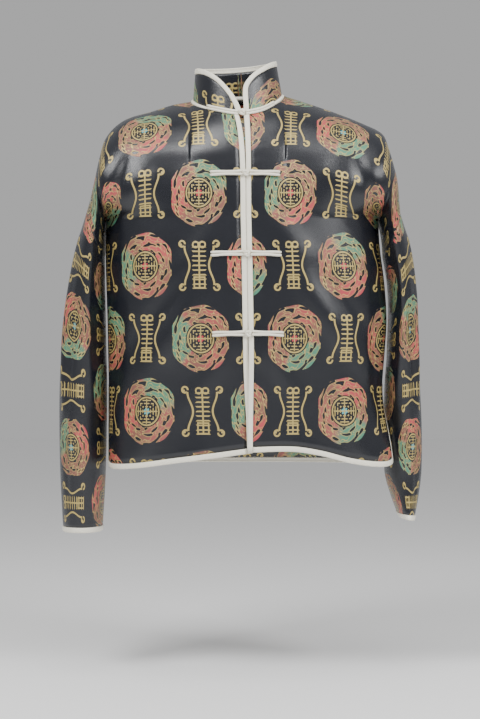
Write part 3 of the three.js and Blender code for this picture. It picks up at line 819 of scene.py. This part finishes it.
VENT_TOP = VENT_ROW + 0.001
HEM_TOP = 2 - BINDING / PER_ROW
HEM_ROWS = steps(VENT_TOP, HEM_TOP, 14) + steps(HEM_TOP, 2, 6)[1:]


def hem_columns(side, first):
    return ([s for s in body_columns(side, first) if s < INNER_VENT - 1]
            + steps(ARMPIT - BINDING, ARMPIT, 6))


def keep_hem(columns):
    def keep(i, j):
        s = min(abs(columns[i]), abs(columns[i + 1]))
        return HEM_ROWS[j] >= HEM_TOP - 1e-9 or s >= ARMPIT - BINDING - 1e-6
    return keep


def hem_puff(s, row):
    from_hem = (2 - row) * PER_ROW / BINDING
    return puff(min(from_hem, (ARMPIT - abs(s)) / BINDING))


for side in (RIGHT, LEFT):
    name = side["name"]
    columns = hem_columns(side, BINDING + SEAM)
    pieces[f"hem_binding_front_{name}"] = sheet_piece(
        f"Hem_binding_front_{name}", columns, HEM_ROWS, lambda s, r: body(FRONT, side, s, r),
        plain_uv, hem_puff, SATIN, BINDING_WALL, side is LEFT, keep_hem(columns))
back_hem = [-s for s in hem_columns(RIGHT, 0)][::-1][:-1] + hem_columns(LEFT, 0)
pieces["hem_binding_back"] = sheet_piece(
    "Hem_binding_back", back_hem, HEM_ROWS, lambda s, r: body(BACK, *on_back(s), r), plain_uv,
    hem_puff, SATIN, BINDING_WALL, False, keep_hem(back_hem))


PLACKET_HALF, PLACKET_UNDER, PLACKET_REPEATS = 22, 3.9, 2.3
PLACKET_TOP, PLACKET_FOOT = 0.05, 1.965


def placket_place(s, row):
    """Under the opening. Above the chest the strip runs straight across it."""
    point = body(FRONT, RIGHT, max(s, 0) if row <= 1 else s, row)
    if row <= 1 and s < 0:
        point.x -= s
    return point


pieces["placket"] = sheet_piece(
    "Placket", steps(-PLACKET_HALF, PLACKET_HALF, 14),
    [PLACKET_TOP] + [r for r in ROWS if r > PLACKET_TOP] + [PLACKET_FOOT],
    placket_place, lambda s, r: (s / REPEAT_ACROSS, r * PLACKET_REPEATS),
    lambda s, r: -PLACKET_UNDER, BROCADE, CLOTH, False)

# ---- collar ---------------------------------------------------------------------------------


BAND_HIGH = 60
BAND_BACK, BAND_NARROWS, BAND_SHALLOWS = 3, 7.5, 8     # what its top does in that height


def band(deg, high):
    """The collar's surface: it leans in as it rises."""
    foot = neck(deg, 0)
    lean = high / BAND_HIGH
    turn = math.radians(deg)
    depth = NECK_FRONT if math.cos(turn) > 0 else NECK_BACK
    top_x = NECK_X - BAND_BACK + (NECK_HALF - BAND_NARROWS) * math.sin(turn)
    top_y = -(depth - BAND_SHALLOWS) * math.cos(turn)
    return Vector((mix(foot.x, top_x, lean), mix(foot.y, top_y, lean), foot.z + high))


PER_DEGREE = math.radians(1) * 70     # cloth to a degree round the neck
COLLAR_FOOT = PIPING + 0.5
PANEL_START = 5                       # the collar's panel starts this many columns in
COLLAR_PATTERN = (0.35, 0.1)          # where in the pattern its cloth is cut


def collar_columns(rows, count=44):
    sign = math.copysign(1, rows[-1]["deg"])
    along = [dict(row, at=i / (len(rows) - 1)) for i, row in enumerate(rows)]

    def edge_at(t):
        deg = read(along, "at", t, "deg")
        return deg, max(read(along, "at", t, "z") - neck(deg, 0).z, COLLAR_FOOT)

    columns = []
    for t in steps(0, 1, count):
        edge, a, b = edge_at(t), edge_at(max(t - 0.02, 0)), edge_at(min(t + 0.02, 1))
        way = ((b[0] - a[0]) * PER_DEGREE, b[1] - a[1])
        size = math.hypot(*way)
        inward = (way[1] / size * sign, -abs(way[0] / size))
        insets = [(edge[0] + inward[0] * w / PER_DEGREE, max(edge[1] + inward[1] * w, COLLAR_FOOT))
                  for w in (BINDING, BINDING + SEAM)]
        columns.append((edge, *insets))
    return columns


collar = collar_columns(COLLAR_RIGHT) + collar_columns(COLLAR_LEFT)[::-1][1:]
panel = collar[PANEL_START:-PANEL_START]
pieces["collar"] = sheet_piece(
    "Collar", list(range(len(panel))), steps(0, 1, 12),
    lambda i, h: band(panel[i][2][0], mix(COLLAR_FOOT, panel[i][2][1], h)),
    lambda i, h: (panel[i][2][0] * PER_DEGREE / REPEAT_ACROSS + COLLAR_PATTERN[0],
                  mix(COLLAR_FOOT, panel[i][2][1], h) / REPEAT_DOWN + COLLAR_PATTERN[1]),
    lambda i, h: 0, BROCADE, CLOTH, True)
pieces["collar_binding"] = sheet_piece(
    "Collar_binding", list(range(len(collar))), steps(0, 1, 8),
    lambda i, h: band(mix(collar[i][1][0], collar[i][0][0], h),
                      mix(collar[i][1][1], collar[i][0][1], h)),
    plain_uv, lambda i, h: puff(h), SATIN, BINDING_WALL, True)
ring = [neck(deg if deg <= 180 else deg - 360, 0) for deg in steps(7, 362, 150)]
pieces["neck_piping"] = tube("Neck_piping", [ring], PIPING, SATIN, 14)

# ---- frogs ----------------------------------------------------------------------------------


def row_at(side, s, down):
    low, high = 0.0, 2.0
    for _ in range(30):
        middle = (low + high) / 2
        if -body(FRONT, side, s, middle).z < down:
            low = middle
        else:
            high = middle
    return (low + high) / 2


def out_of_front(side, s, row):
    along = body(FRONT, side, s + 3, row) - body(FRONT, side, max(s - 3, 0), row)
    across = body(FRONT, side, s, row + 0.015) - body(FRONT, side, s, max(row - 0.015, 0))
    return (across.cross(along) * side["sign"]).normalized()


CORD, KNOT_CORD = 2.15, 1.75
CORD_HIGH = PROUD + SWELL + CORD


def strap_cords(side, down):
    paths = []
    for row_of_cord in (-1, 1):
        path = []
        for t in steps(0, 1, 18):
            s = KNOT - 1 + t * (STRAP_LENGTH + 1.5)
            wobble = 0.35 * math.sin(7 * t + row_of_cord) + 1.5 * t
            row = row_at(side, s, down + row_of_cord * CORD * 1.02 + wobble)
            path.append(body(FRONT, side, s, row) + out_of_front(side, s, row) * CORD_HIGH)
        paths.append(path)
    return paths


def knot_path(centre, out):
    """A cord knotted into a ball: three turns that pass over and under each other."""
    side_way = out.cross(Vector((0, 0, 1))).normalized()
    up = side_way.cross(out)
    path = []
    for t in steps(0, 2 * math.pi, 90):
        r = 3.0 + 1.2 * math.cos(3 * t)
        path.append(centre + side_way * (r * math.cos(2 * t)) + up * (r * math.sin(2 * t))
                    + out * (1.6 * math.sin(3 * t)))
    return path


for name, down in FROGS.items():
    for side in (RIGHT, LEFT):
        node = f"frog_{name}_{side['name']}"
        pieces[node] = tube(node.capitalize(), strap_cords(side, down), CORD, SATIN)
    row = row_at(LEFT, 0, down + 1)
    out = out_of_front(LEFT, 0, row)
    centre = body(FRONT, LEFT, 0, row) + out * (PROUD + 4.2)
    pieces[f"frog_{name}_knot"] = tube(
        f"Frog_{name}_knot", [knot_path(centre, out)], KNOT_CORD, SATIN)

NECK_KNOT = 5          # degrees round the neck
NECK_CORDS, NECK_KNOT_HIGH = (2.0, 6.2), 4.6
for side in (RIGHT, LEFT):
    cords = []
    for level in NECK_CORDS:
        cords.append([
            neck(NECK_KNOT + side["sign"] * (KNOT - 1 + t * (STRAP_LENGTH - 4)) / PER_DEGREE,
                 PIPING + 0.4 + CORD) + Vector((0, 0, level)) for t in steps(0, 1, 18)])
    node = f"frog_neck_{side['name']}"
    pieces[node] = tube(node.capitalize(), cords, CORD, SATIN)
out = (neck(NECK_KNOT, 1) - neck(NECK_KNOT, 0)).normalized()
centre = neck(NECK_KNOT, PIPING + 5) + Vector((0, 0, NECK_KNOT_HIGH))
pieces["frog_neck_knot"] = tube("Frog_neck_knot", [knot_path(centre, out)], KNOT_CORD, SATIN)

# ---- each piece is attached to the root, and hides the CAD part it stands for -------------------

for node, piece in pieces.items():
    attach(piece, "root")
    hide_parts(node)

# ---- floor and light --------------------------------------------------------------------------

floor_data = bpy.data.meshes.new("Floor")
FLOOR_Z, FLOOR_HALF = -0.95, 9.0
floor_data.from_pydata(
    [(x * FLOOR_HALF, y * FLOOR_HALF, FLOOR_Z) for x, y in ((-1, -1), (1, -1), (1, 1), (-1, 1))],
    [], [(0, 1, 2, 3)])
floor = bpy.data.objects.new("Floor", floor_data)
bpy.context.collection.objects.link(floor)
floor_material, floor_shader = start_material("floor")
floor_shader.inputs["Base Color"].default_value = (0.95, 0.95, 0.95, 1)
floor_shader.inputs["Roughness"].default_value = 0.8
floor_data.materials.append(floor_material)

world = bpy.data.worlds.new("Studio")
world.use_nodes = True
world.node_tree.nodes["Background"].inputs["Color"].default_value = (1, 1, 1, 1)
world.node_tree.nodes["Background"].inputs["Strength"].default_value = 0.46
bpy.context.scene.world = world

LIGHTS = (
    # name, place, aimed at, size, power
    ("Key", (-1.1, -1.7, 1.5), (0, 0, -0.30), 0.9, 62),
    ("Fill", (1.6, -1.5, 0.9), (0, 0, -0.35), 0.8, 44),
    ("Top", (0.0, -0.9, 1.9), (0, 0, -0.20), 1.2, 16),
)
for name, place, aim, size, power in LIGHTS:
    light = bpy.data.lights.new(name, "AREA")
    light.size = size
    light.energy = power
    lamp = bpy.data.objects.new(name, light)
    lamp.location = place
    lamp.rotation_euler = (Vector(aim) - Vector(place)).to_track_quat("-Z", "Y").to_euler()
    bpy.context.collection.objects.link(lamp)
bpy.context.view_layer.update()
